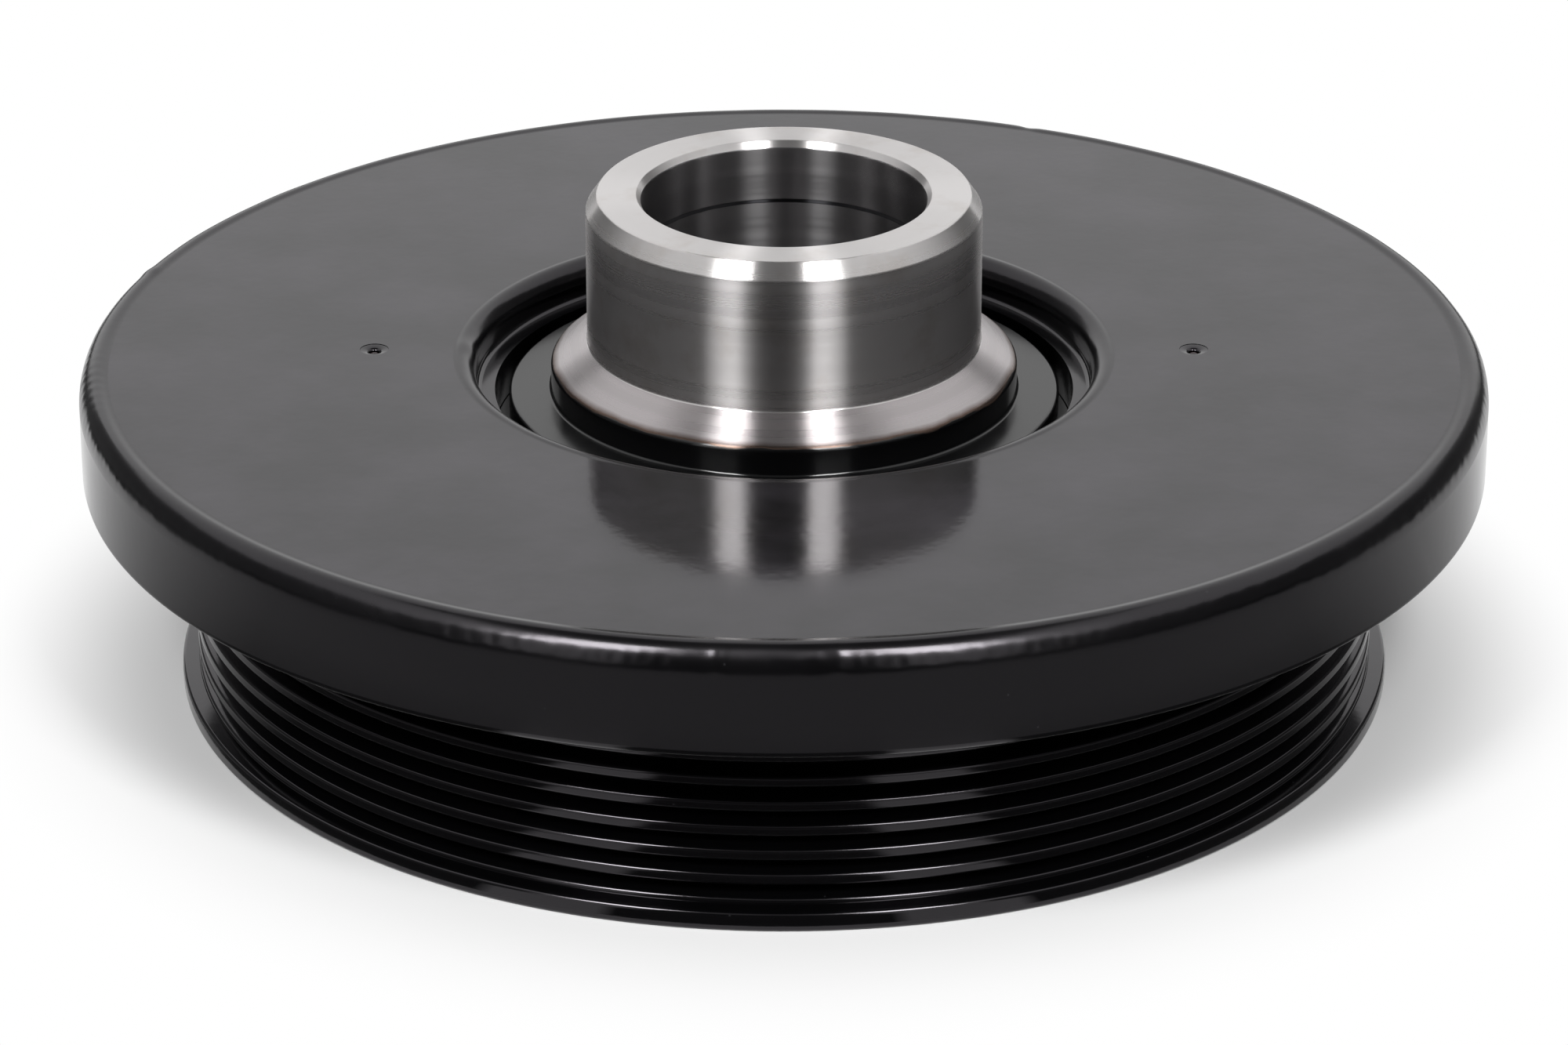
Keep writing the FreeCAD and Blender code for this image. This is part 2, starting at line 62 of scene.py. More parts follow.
# Studio: a pale floor that runs out to white, a white tent, and two tall softboxes at the front. Grey
# cards hang in the gap between them, overhead, and low round the sides and back; only reflections show
# them. Angles are in degrees, and azimuths are counted from the front, towards the right.
MM = 0.001
floor_size = 8.0
floor_colour = (0.8, 0.8, 0.8, 1)
white_from = 0.086
white_to = 0.118
tent_light = 0.35
softbox_radius = 1.0
softbox_light = 22.0
softbox_lowest = 36
softbox_highest = 58
softbox_span = 18.5
gap_left = -25.0
gap_right = 16.4
left_middle = gap_left - softbox_span / 2
right_middle = gap_right + softbox_span / 2
gap_radius = 1.3
gap_split = 32
gap_top = 72
gap_low_tone = 0.03
gap_high_tone = 0.22
low_radius = 0.9
low_top = 30
low_left_tone = 0.14
low_right_tone = 0.10
card_foot = -4
back_edge = 145
back_top = 1.5
overhead_size = 1.5
overhead_place = (-0.07, -0.15, 1.6)
overhead_tone = 0.10
room_dark = 0.05


def spin_outline(name, corners, steps, sweep=math.tau):
    """Turns an outline of (radius, height) or (radius, height, rounding) corners round the axis.

    A full sweep needs a closed outline and makes a closed solid; a part sweep makes an open sheet."""
    bpy.ops.object.select_all(action="DESELECT")
    start = Vector((corners[0][0] * MM, 0, corners[0][1] * MM))
    bpy.ops.mesh.primitive_plane_add(size=MM, location=start)
    piece = bpy.context.object
    piece.name = name
    piece.data.name = name
    bpy.ops.object.transform_apply(location=True, rotation=False, scale=False)
    bpy.ops.object.mode_set(mode="EDIT")
    bpy.ops.mesh.merge(type="CENTER")
    closed = sweep == math.tau
    following = corners[1:] + corners[:1] if closed else corners[1:]
    for before, after in zip(corners, following):
        step = ((after[0] - before[0]) * MM, 0, (after[1] - before[1]) * MM)
        bpy.ops.mesh.extrude_vertices_move(TRANSFORM_OT_translate={"value": step})
    bpy.ops.mesh.select_all(action="SELECT")
    bpy.ops.mesh.remove_doubles(threshold=MM / 1000)
    for corner in corners:
        if len(corner) > 2:
            select_points(piece, lambda point: math.hypot(
                point.x - corner[0] * MM, point.z - corner[1] * MM) < MM / 100)
            bpy.ops.mesh.bevel(offset=corner[2] * MM, segments=4, affect="VERTICES")
    bpy.ops.mesh.select_all(action="SELECT")
    bpy.ops.mesh.spin(steps=steps, angle=-sweep, center=(0, 0, 0), axis=(0, 0, 1))
    bpy.ops.mesh.select_all(action="SELECT")
    bpy.ops.mesh.remove_doubles(threshold=MM / 1000)
    bpy.ops.mesh.normals_make_consistent(inside=False)
    bpy.ops.object.mode_set(mode="OBJECT")
    return piece


def select_points(piece, wanted):
    """Selects the points of a piece, in edit mode, for which wanted is true."""
    bpy.ops.mesh.select_mode(type="VERT")
    bpy.ops.mesh.select_all(action="DESELECT")
    bpy.ops.object.mode_set(mode="OBJECT")
    for point in piece.data.vertices:
        point.select = wanted(point.co)
    bpy.ops.object.mode_set(mode="EDIT")


def new_material(name):
    """A node material with its shader and output in place; returns it, its nodes and its links."""
    material = bpy.data.materials.new(name)
    material.use_nodes = True
    return material, material.node_tree.nodes, material.node_tree.links


def add_math(nodes, links, operation, first, second=None, clamp=False):
    """One Math node; each input is a socket or a number."""
    node = nodes.new("ShaderNodeMath")
    node.operation = operation
    node.use_clamp = clamp
    for number, value in enumerate((first, second)):
        if value is None:
            continue
        if isinstance(value, (int, float)):
            node.inputs[number].default_value = value
        else:
            links.new(value, node.inputs[number])
    return node.outputs[0]


def map_range(nodes, links, value, low, high, to_low, to_high):
    """A clamped linear map of a value from one range to another."""
    node = nodes.new("ShaderNodeMapRange")
    links.new(value, node.inputs["Value"])
    for label, number in (("From Min", low), ("From Max", high), ("To Min", to_low), ("To Max", to_high)):
        node.inputs[label].default_value = number
    return node.outputs["Result"]


def background_rays(nodes, links):
    """One for the rays that show the white background: camera, mirror and glass rays."""
    rays = nodes.new("ShaderNodeLightPath")
    seen = add_math(nodes, links, "ADD", rays.outputs["Is Camera Ray"], rays.outputs["Is Glossy Ray"])
    return add_math(nodes, links, "ADD", seen, rays.outputs["Is Transmission Ray"], clamp=True)


bpy.ops.object.select_all(action="DESELECT")
bpy.ops.mesh.primitive_circle_add(vertices=96, radius=floor_size / 2, fill_type="NGON")
floor = bpy.context.object
floor.name = "studio_floor"

paper, nodes, links = new_material("floor_paper")
paper_shader = nodes["Principled BSDF"]
paper_shader.inputs["Base Color"].default_value = floor_colour
paper_shader.inputs["Roughness"].default_value = 0.9
paper_shader.inputs["Specular IOR Level"].default_value = 0.0
place = nodes.new("ShaderNodeTexCoord")
distance = nodes.new("ShaderNodeVectorMath")
distance.operation = "LENGTH"
fade = nodes.new("ShaderNodeMapRange")
fade.interpolation_type = "SMOOTHSTEP"
fade.inputs["From Min"].default_value = white_from
fade.inputs["From Max"].default_value = white_to
links.new(place.outputs["Object"], distance.inputs[0])
links.new(distance.outputs["Value"], fade.inputs["Value"])
share = add_math(nodes, links, "MULTIPLY", background_rays(nodes, links), fade.outputs["Result"])
white = nodes.new("ShaderNodeEmission")
blend = nodes.new("ShaderNodeMixShader")
links.new(share, blend.inputs["Fac"])
links.new(paper_shader.outputs["BSDF"], blend.inputs[1])
links.new(white.outputs["Emission"], blend.inputs[2])
links.new(blend.outputs["Shader"], nodes["Material Output"].inputs["Surface"])
floor.data.materials.append(paper)

world = bpy.data.worlds.new("white_tent")
world.use_nodes = True
bpy.context.scene.world = world
nodes, links = world.node_tree.nodes, world.node_tree.links
tent = nodes["Background"]
tent.inputs["Color"].default_value = (1, 1, 1, 1)
tent.inputs["Strength"].default_value = tent_light
tent_seen = nodes.new("ShaderNodeBackground")
tent_seen.inputs["Color"].default_value = (1, 1, 1, 1)
blend = nodes.new("ShaderNodeMixShader")
links.new(background_rays(nodes, links), blend.inputs["Fac"])
links.new(tent.outputs["Background"], blend.inputs[1])
links.new(tent_seen.outputs["Background"], blend.inputs[2])
links.new(blend.outputs["Shader"], nodes["World Output"].inputs["Surface"])


def softbox(name, azimuth):
    """An upright softbox that faces the axis, with its middle at an azimuth."""
    turn = math.radians(azimuth)
    way = Vector((math.sin(turn), -math.cos(turn), 0))
    bottom = softbox_radius * math.tan(math.radians(softbox_lowest))
    top = softbox_radius * math.tan(math.radians(softbox_highest))
    lamp = bpy.data.lights.new(name, "AREA")
    lamp.shape = "RECTANGLE"
    lamp.size = 2 * softbox_radius * math.tan(math.radians(softbox_span / 2))
    lamp.size_y = top - bottom
    lamp.energy = softbox_light * math.pi * lamp.size * lamp.size_y
    holder = bpy.data.objects.new(name, lamp)
    holder.location = way * softbox_radius + Vector((0, 0, (top + bottom) / 2))
    holder.rotation_euler = way.to_track_quat("Z", "Y").to_euler()
    holder.visible_camera = False
    bpy.context.scene.collection.objects.link(holder)


softbox("softbox_left", left_middle)
softbox("softbox_right", right_middle)


def hang_card(card, tone):
    """Makes a sheet a grey card that only reflections show, at an even tone."""
    card.visible_camera = False
    card.visible_shadow = False
    card.visible_diffuse = False
    grey, nodes, links = new_material(card.name)
    nodes.remove(nodes["Principled BSDF"])
    even = nodes.new("ShaderNodeEmission")
    even.inputs["Color"].default_value = (tone, tone, tone, 1)
    links.new(even.outputs["Emission"], nodes["Material Output"].inputs["Surface"])
    card.data.materials.append(grey)
    return nodes, links, even


def curved_card(name, radius, lowest, highest, left, right, tone):
    """A card bent round the balancer, between two elevations and two azimuths from the front."""
    rows = 8
    rises = [math.radians(lowest + (highest - lowest) * row / rows) for row in range(rows + 1)]
    outline = [(radius * math.cos(rise) / MM, radius * math.sin(rise) / MM) for rise in rises]
    card = spin_outline(name, outline, 32, math.radians(right - left))
    card.data.transform(Matrix.Rotation(math.radians(left - 90), 4, "Z"))
    hang_card(card, tone)


left_outside = gap_left - softbox_span
right_outside = gap_right + softbox_span
curved_card("gap_card_low", gap_radius, card_foot, gap_split, gap_left, gap_right, gap_low_tone)
curved_card("gap_card_high", gap_radius, gap_split, gap_top, gap_left, gap_right, gap_high_tone)
curved_card("low_card_left", low_radius, card_foot, low_top, -back_edge, left_outside, low_left_tone)
curved_card("low_card_right", low_radius, card_foot, low_top, right_outside, back_edge, low_right_tone)
curved_card("back_card", gap_radius, card_foot, back_top, back_edge, 360 - back_edge, room_dark)

bpy.ops.object.select_all(action="DESELECT")
bpy.ops.mesh.primitive_plane_add(size=overhead_size, location=overhead_place)
overhead = bpy.context.object
overhead.name = "overhead_card"
hang_card(overhead, overhead_tone)

# The table card is a sheet that only reflections show, with painted shade and light: a painted shadow of
# the camera's side, darkest under the overhang, and two painted pools of softbox light. Past its edge the
# room is dark up to the tent.
table_height = 0.3
table_inner = 86.5
table_outer = 3000.0
front_shade_tone = 0.34
overhang_shadow_tone = 0.05
shade_from = 0.13
shade_to = 0.165
side_blend = 0.42
pool_light = 0.75
pool_turn = 0.65
pool_blur = 0.15
pool_from = 0.14
pool_to = 0.16
table_edge = 0.27
edge_fade = 1.2
bpy.ops.object.select_all(action="DESELECT")
table_outline = [(table_inner, table_height), (table_outer, table_height)]
table = spin_outline("painted_table_shade", table_outline, 96, math.radians(359.9))
nodes, links, even = hang_card(table, 1.0)
place = nodes.new("ShaderNodeTexCoord").outputs["Object"]
parts = nodes.new("ShaderNodeSeparateXYZ")
links.new(place, parts.inputs[0])
length = nodes.new("ShaderNodeVectorMath")
length.operation = "LENGTH"
links.new(place, length.inputs[0])
reach = length.outputs["Value"]
backward = add_math(nodes, links, "DIVIDE", parts.outputs["Y"], reach)
behind = map_range(nodes, links, backward, -side_blend, side_blend, 0.0, 1.0)
# Painted shadow under the overhang, rising to the painted shade in front.
under = map_range(nodes, links, reach, shade_from, shade_to, overhang_shadow_tone, front_shade_tone)
forward = add_math(nodes, links, "MULTIPLY", parts.outputs["Y"], -1.0)
azimuth = add_math(nodes, links, "ARCTAN2", parts.outputs["X"], forward)
# Two painted pools of softbox light on the table card, near the balancer.
pools = 0.0
for middle in (left_middle, right_middle):
    aside = add_math(nodes, links, "SUBTRACT", azimuth, math.radians(middle * pool_turn))
    off = add_math(nodes, links, "ABSOLUTE", aside)
    half = math.radians(softbox_span / 2 * pool_turn)
    pool = map_range(nodes, links, off, half * (1 - pool_blur), half * (1 + pool_blur), 1.0, 0.0)
    pools = add_math(nodes, links, "ADD", pool, pools)
near = map_range(nodes, links, reach, pool_from, pool_to, pool_light, 0.0)
lit = add_math(nodes, links, "MULTIPLY", pools, near)
front = add_math(nodes, links, "ADD", under, lit)
front_share = add_math(nodes, links, "MULTIPLY", front, add_math(nodes, links, "SUBTRACT", 1.0, behind))
tone = add_math(nodes, links, "ADD", front_share, behind)
outside = map_range(nodes, links, reach, table_edge, table_edge * edge_fade, 1.0, room_dark)
links.new(add_math(nodes, links, "MULTIPLY", tone, outside), even.inputs["Strength"])


# Hub: one steel forging, turned all over. The snout is ground for the oil seal's lip and stays bare down
# to the edge of its bevelled shoulder; below that it was painted with the rest of the balancer.
TURN_STEPS = 256
nose_height = 12.0
clamp_height = 14.0
web_top = 22.2
damper_base = 31.2
pilot_top = 35.2
hub_face = 41.3
collar_top = 45.3
land_base = 48.7
snout_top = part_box("hub")[1].z / MM
bore_radius = 19.5
relief_radius = 19.8
clamp_recess_radius = 24.5
snout_radius = 27.5
spigot_radius = 30.0
collar_radius = 32.6
face_radius = 38.5
pilot_radius = 40.4
flange_radius = 60.0
collar_round = 0.5
bolt_count = 6
bolt_reach = 45.0
tapped_radius = 4.05
tapped_from = 20.0
tapped_to = 30.2

hub_outline = [
    (bore_radius, clamp_height + 1.0), (20.2, clamp_height), (clamp_recess_radius, clamp_height),
    (clamp_recess_radius, nose_height), (29.0, nose_height), (spigot_radius, nose_height + 1.0),
    (spigot_radius, web_top), (flange_radius, web_top), (flange_radius, damper_base),
    (pilot_radius, damper_base), (pilot_radius, pilot_top), (face_radius, pilot_top),
    (face_radius, hub_face, collar_round), (collar_radius, hub_face, collar_round),
    (collar_radius, collar_top, collar_round), (snout_radius, land_base, 0.2),
    (snout_radius, snout_top - 2.3, 0.15), (25.9, snout_top, 0.2), (20.5, snout_top, 0.12),
    (relief_radius, snout_top - 1.0, 0.12), (relief_radius, snout_top - 8.7),
    (bore_radius, snout_top - 9.0),
]


def finish_turned(piece):
    """Smooth round the axis and crisp at the corners, with flat faces that stay flat."""
    bpy.ops.object.select_all(action="DESELECT")
    piece.select_set(True)
    bpy.context.view_layer.objects.active = piece
    bpy.ops.object.shade_smooth_by_angle(angle=math.radians(32))
    weighted = piece.modifiers.new("flat_faces", "WEIGHTED_NORMAL")
    weighted.keep_sharp = True
    weighted.weight = 100
    bpy.ops.object.modifier_apply(modifier=weighted.name)


def drill(piece, radius, centres, bottom, top):
    """Cuts plain round holes, parallel to the axis, at the given (x, y) centres in millimetres."""
    bpy.ops.object.select_all(action="DESELECT")
    cutters = []
    for x, y in centres:
        height = (top - bottom) * MM
        middle = (x * MM, y * MM, (top + bottom) / 2 * MM)
        bpy.ops.mesh.primitive_cylinder_add(vertices=48, radius=radius * MM, depth=height, location=middle)
        cutters.append(bpy.context.object)
    for cutter in cutters:
        cutter.select_set(True)
    bpy.ops.object.join()
    cutter = bpy.context.object
    holes = piece.modifiers.new("holes", "BOOLEAN")
    holes.operation = "DIFFERENCE"
    holes.solver = "EXACT"
    holes.object = cutter
    bpy.context.view_layer.objects.active = piece
    bpy.ops.object.modifier_apply(modifier=holes.name)
    bpy.data.objects.remove(cutter)


def add_noise(nodes, links, where, scale, detail=2.0, rough=0.5):
    """One Noise Texture node read at a vector; returns its grey value."""
    node = nodes.new("ShaderNodeTexNoise")
    node.inputs["Scale"].default_value = scale
    node.inputs["Detail"].default_value = detail
    node.inputs["Roughness"].default_value = rough
    links.new(where, node.inputs["Vector"])
    return node.outputs["Fac"]


def new_group(name, inputs, outputs):
    """A shader node group with named float inputs (name, value) and outputs (name, kind)."""
    group = bpy.data.node_groups.new(name, "ShaderNodeTree")
    for label, value in inputs:
        socket = group.interface.new_socket(label, in_out="INPUT", socket_type="NodeSocketFloat")
        socket.default_value = value
    for label, kind in outputs:
        group.interface.new_socket(label, in_out="OUTPUT", socket_type=kind)
    given = group.nodes.new("NodeGroupInput")
    result = group.nodes.new("NodeGroupOutput")
    return group, group.nodes, group.links, given, result


def radius_and_height(nodes, links):
    """Distance from the axis and height, in metres, with the plain Object coordinates."""
    place = nodes.new("ShaderNodeTexCoord").outputs["Object"]
    parts = nodes.new("ShaderNodeSeparateXYZ")
    links.new(place, parts.inputs[0])
    across = add_math(nodes, links, "MULTIPLY", parts.outputs["X"], parts.outputs["X"])
    along = add_math(nodes, links, "MULTIPLY", parts.outputs["Y"], parts.outputs["Y"])
    both = add_math(nodes, links, "ADD", across, along)
    return add_math(nodes, links, "SQRT", both), parts.outputs["Z"], place


def make_turning_marks():
    """Fine rings that a turning or grinding tool leaves round the axis, with faint uneven patches."""
    group, nodes, links, given, result = new_group(
        "turning_marks", [("Lines per Metre", 5000.0)],
        [("Height", "NodeSocketFloat"), ("Patches", "NodeSocketFloat"), ("Streaks", "NodeSocketFloat")])
    radius, height, place = radius_and_height(nodes, links)
    rings = nodes.new("ShaderNodeCombineXYZ")
    links.new(add_math(nodes, links, "MULTIPLY", radius, given.outputs[0]), rings.inputs["X"])
    links.new(add_math(nodes, links, "MULTIPLY", height, given.outputs[0]), rings.inputs["Z"])
    fine = add_noise(nodes, links, rings.outputs[0], 1.0, 3.0, 0.65)
    links.new(fine, result.inputs["Height"])
    wide = nodes.new("ShaderNodeVectorMath")
    wide.operation = "SCALE"
    wide.inputs["Scale"].default_value = 0.12
    links.new(rings.outputs[0], wide.inputs[0])
    links.new(add_noise(nodes, links, wide.outputs[0], 1.0, 2.0), result.inputs["Streaks"])
    links.new(add_noise(nodes, links, place, 140.0, 4.0, 0.6), result.inputs["Patches"])
    return group


def make_paint_skin():
    """Sprayed gloss paint: a light orange peel, slow waves in the film, and fine dust under it."""
    group, nodes, links, given, result = new_group(
        "paint_skin", [("Peel per Metre", 620.0)],
        [("Height", "NodeSocketFloat"), ("Mottle", "NodeSocketFloat"), ("Dust", "NodeSocketFloat")])
    place = nodes.new("ShaderNodeTexCoord").outputs["Object"]
    peel = nodes.new("ShaderNodeTexNoise")
    peel.inputs["Detail"].default_value = 1.5
    links.new(place, peel.inputs["Vector"])
    links.new(given.outputs[0], peel.inputs["Scale"])
    waves = add_noise(nodes, links, place, 95.0, 2.0)
    slow = add_math(nodes, links, "MULTIPLY", waves, 2.5)
    links.new(add_math(nodes, links, "ADD", peel.outputs["Fac"], slow), result.inputs["Height"])
    links.new(add_noise(nodes, links, place, 42.0, 4.0, 0.6), result.inputs["Mottle"])
    specks = nodes.new("ShaderNodeTexVoronoi")
    specks.inputs["Scale"].default_value = 230.0
    links.new(place, specks.inputs["Vector"])
    near = add_math(nodes, links, "LESS_THAN", specks.outputs["Distance"], 0.035)
    links.new(near, result.inputs["Dust"])
    return group


turning_marks = make_turning_marks()
paint_skin = make_paint_skin()


def use_group(nodes, group, **values):
    """Places a node group in a material with its own values."""
    node = nodes.new("ShaderNodeGroup")
    node.node_tree = group
    for label, value in values.items():
        node.inputs[label.replace("_", " ")].default_value = value
    return node


def mix_colour(nodes, links, share, first, second):
    """Mixes two colours, each a socket or a value, by a share."""
    node = nodes.new("ShaderNodeMix")
    node.data_type = "RGBA"
    links.new(share, node.inputs["Factor"])
    for label, value in (("A", first), ("B", second)):
        socket = [item for item in node.inputs if item.name == label and item.type == "RGBA"][0]
        if isinstance(value, tuple):
            socket.default_value = value
        else:
            links.new(value, socket)
    return [item for item in node.outputs if item.type == "RGBA"][0]


def mix_value(nodes, links, share, first, second):
    """Mixes two numbers, each a socket or a value, by a share."""
    node = nodes.new("ShaderNodeMix")
    node.data_type = "FLOAT"
    links.new(share, node.inputs["Factor"])
    for label, value in (("A", first), ("B", second)):
        socket = [item for item in node.inputs if item.name == label and item.type == "VALUE"][0]
        if isinstance(value, float):
            socket.default_value = value
        else:
            links.new(value, socket)
    return [item for item in node.outputs if item.type == "VALUE"][0]


paint_index = 1.5
peel_per_metre = 620.0
bare_radius = 32.35
paint_top = 44.9
bevel_top = 48.6
clamp_bare_height = 15.0
step_drop = 8.85
step_line_half = 0.22
black_paint_colour = (0.0012, 0.0012, 0.0014, 1)
# This dust colour also paints the shade line at the bore's step.
dust_and_shade_black = (0.012, 0.012, 0.013, 1)
steel_colour = (0.66, 0.64, 0.635, 1)
steel_stain = (0.50, 0.455, 0.42, 1)
# Darker steel for the bore: painted shade for its depth.
shaded_bore_steel = (0.42, 0.41, 0.415, 1)
bevel_steel = (0.47, 0.44, 0.445, 1)
overspray_brown = (0.10, 0.065, 0.05, 1)


def hub_finish():
    """Bare ground and turned steel on the snout, and black paint below an uneven brown edge."""
    material, nodes, links = new_material("hub_steel_and_paint")
    shader = nodes["Principled BSDF"]
    shader.inputs["IOR"].default_value = paint_index
    shader.inputs["Anisotropic"].default_value = 1.0
    shader.inputs["Anisotropic Rotation"].default_value = 0.25
    lay = nodes.new("ShaderNodeTangent")
    lay.direction_type = "RADIAL"
    lay.axis = "Z"
    links.new(lay.outputs["Tangent"], shader.inputs["Tangent"])
    radius, height, place = radius_and_height(nodes, links)
    edge = add_noise(nodes, links, place, 160.0, 3.0)
    wander = map_range(nodes, links, edge, 0.25, 0.75, -0.25 * MM, 0.15 * MM)
    reach = add_math(nodes, links, "ADD", radius, wander)
    outside = map_range(nodes, links, reach, (bare_radius - 0.12) * MM, (bare_radius + 0.05) * MM, 0.0, 1.0)
    brown = map_range(nodes, links, reach, (bare_radius - 0.9) * MM, (bare_radius - 0.1) * MM, 0.0, 1.0)
    low = add_math(nodes, links, "LESS_THAN", height, paint_top * MM)
    away = add_math(nodes, links, "GREATER_THAN", radius, 20.4 * MM)
    under = add_math(nodes, links, "MULTIPLY", low, away)
    foot = add_math(nodes, links, "LESS_THAN", height, clamp_bare_height * MM)
    inside = add_math(nodes, links, "LESS_THAN", radius, (clamp_recess_radius + 0.05) * MM)
    clamp = add_math(nodes, links, "MULTIPLY", foot, inside)
    hidden = add_math(nodes, links, "SUBTRACT", under, clamp, clamp=True)
    painted = add_math(nodes, links, "MAXIMUM", outside, hidden)

    marks = use_group(nodes, turning_marks, Lines_per_Metre=5200.0)
    skin = use_group(nodes, paint_skin, Peel_per_Metre=peel_per_metre)
    above = add_math(nodes, links, "LESS_THAN", height, (snout_top - 0.9) * MM)
    bored = add_math(nodes, links, "LESS_THAN", radius, 20.0 * MM)
    bore = add_math(nodes, links, "MULTIPLY", above, bored)
    stains = map_range(nodes, links, marks.outputs["Patches"], 0.52, 0.78, 0.0, 0.55)
    steel = mix_colour(nodes, links, stains, steel_colour, steel_stain)
    bevelled = add_math(nodes, links, "LESS_THAN", height, bevel_top * MM)
    duller = mix_colour(nodes, links, bevelled, steel, bevel_steel)
    # The bore takes the darker steel, painted shade inside it.
    bore_shaded = mix_colour(nodes, links, bore, duller, shaded_bore_steel)
    # A thin painted dark line of shade runs along the step in the bore.
    from_step = add_math(nodes, links, "SUBTRACT", height, (snout_top - step_drop) * MM)
    off_step = add_math(nodes, links, "ABSOLUTE", from_step)
    by_step = add_math(nodes, links, "LESS_THAN", off_step, step_line_half * MM)
    corner = add_math(nodes, links, "MULTIPLY", by_step, bore)
    step_shaded = mix_colour(nodes, links, corner, bore_shaded, dust_and_shade_black)
    tinted = mix_colour(nodes, links, brown, step_shaded, overspray_brown)
    colour = mix_colour(nodes, links, painted, tinted, black_paint_colour)
    links.new(colour, shader.inputs["Base Color"])
    links.new(add_math(nodes, links, "SUBTRACT", 1.0, painted), shader.inputs["Metallic"])

    turned = map_range(nodes, links, marks.outputs["Streaks"], 0.3, 0.7, 0.26, 0.30)
    honed = map_range(nodes, links, marks.outputs["Streaks"], 0.3, 0.7, 0.20, 0.24)
    steel_rough = mix_value(nodes, links, bore, turned, honed)
    paint_rough = map_range(nodes, links, skin.outputs["Mottle"], 0.3, 0.7, 0.10, 0.17)
    links.new(mix_value(nodes, links, painted, steel_rough, paint_rough), shader.inputs["Roughness"])

    ground = add_math(nodes, links, "MULTIPLY", marks.outputs["Height"], 0.12)
    relief = mix_value(nodes, links, painted, ground, skin.outputs["Height"])
    bump = nodes.new("ShaderNodeBump")
    bump.inputs["Strength"].default_value = 1.0
    bump.inputs["Distance"].default_value = 2.5e-6
    links.new(relief, bump.inputs["Height"])
    links.new(bump.outputs["Normal"], shader.inputs["Normal"])
    return material


hub = spin_outline("snout_hub", hub_outline, TURN_STEPS)
bolt_turns = [number * math.tau / bolt_count for number in range(bolt_count)]
bolt_circle = [(bolt_reach * math.cos(turn), bolt_reach * math.sin(turn)) for turn in bolt_turns]
drill(hub, tapped_radius, bolt_circle, tapped_from, tapped_to)
finish_turned(hub)
hub.data.materials.append(hub_finish())
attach(hub, "root")
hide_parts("hub")


# Damper housing: a deep ring channel, spun and turned from plate and welded shut under its cover. Its
# plain side wall carries the gloss black paint that covers the whole balancer.
chamber_floor = 34.4
cover_seat = 42.5
lip_foot = 43.5
rebate_top = 43.7
housing_bore = 40.5
lip_radius = 43.1
inner_toe = 46.1
chamber_inner = 49.0
chamber_outer = 91.5
outer_toe = 94.2
damper_radius = 98.2

housing_outline = [
    (housing_bore, damper_base), (damper_radius, damper_base, 1.2), (damper_radius, cover_seat),
    (outer_toe, rebate_top), (outer_toe, cover_seat), (chamber_outer, cover_seat),
    (chamber_outer, chamber_floor), (chamber_inner, chamber_floor), (chamber_inner, cover_seat),
    (inner_toe, cover_seat), (inner_toe, rebate_top), (lip_radius, lip_foot),
    (lip_radius, hub_face, 0.8), (housing_bore, hub_face),
]
# The paint's reflections carry a painted violet tint, standing in for the colour of the studio light.
reflection_tint = (0.98, 0.93, 1.0, 1)
paint_haze = (0.036, 0.032, 0.039, 1)


def gloss_paint(name, peel_depth, roughest, colour=black_paint_colour, haze=0.0):
    """Gloss paint over steel, black if no colour is given, with its own orange peel, roughness and haze.

    The peel's depth is in metres."""
    material, nodes, links = new_material(name)
    shader = nodes["Principled BSDF"]
    shader.inputs["IOR"].default_value = paint_index
    shader.inputs["Specular Tint"].default_value = reflection_tint
    skin = use_group(nodes, paint_skin, Peel_per_Metre=peel_per_metre)
    mottle = skin.outputs["Mottle"]
    dull = map_range(nodes, links, mottle, 0.38, 0.72, 0.0, haze)
    hazy = mix_colour(nodes, links, dull, colour, paint_haze)
    dusty = mix_colour(nodes, links, skin.outputs["Dust"], hazy, dust_and_shade_black)
    links.new(dusty, shader.inputs["Base Color"])
    rough = map_range(nodes, links, mottle, 0.3, 0.7, roughest * 0.6, roughest)
    links.new(rough, shader.inputs["Roughness"])
    bump = nodes.new("ShaderNodeBump")
    bump.inputs["Strength"].default_value = 1.0
    bump.inputs["Distance"].default_value = peel_depth
    links.new(skin.outputs["Height"], bump.inputs["Height"])
    links.new(bump.outputs["Normal"], shader.inputs["Normal"])
    return material


wall_paint = gloss_paint("wall_paint", peel_depth=6e-6, roughest=0.16)

housing = spin_outline("housing_channel", housing_outline, TURN_STEPS)
finish_turned(housing)
housing.data.materials.append(wall_paint)
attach(housing, "root")
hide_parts("damper_housing")


# Damper cover: a flat ring of steel plate that closes the channel. It has a fill port on each side, and
# the paint is at its glossiest on its top face, with slow waves and dull patches.
damper_top = 46.5
cover_inner = 46.2
cover_outer = 94.1
port_reach = 57.3
port_radius = 2.0

cover_outline = [
    (cover_inner, cover_seat), (cover_outer, cover_seat),
    (cover_outer, damper_top), (cover_inner, damper_top),
]

face_paint = gloss_paint("face_paint", peel_depth=9e-6, roughest=0.12, haze=0.5)

cover = spin_outline("cover_plate", cover_outline, TURN_STEPS)
drill(cover, port_radius, [(-port_reach, 0), (port_reach, 0)], cover_seat - 2.5, damper_top + 1.5)
finish_turned(cover)
cover.data.materials.append(face_paint)
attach(cover, "root")
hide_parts("damper_cover")


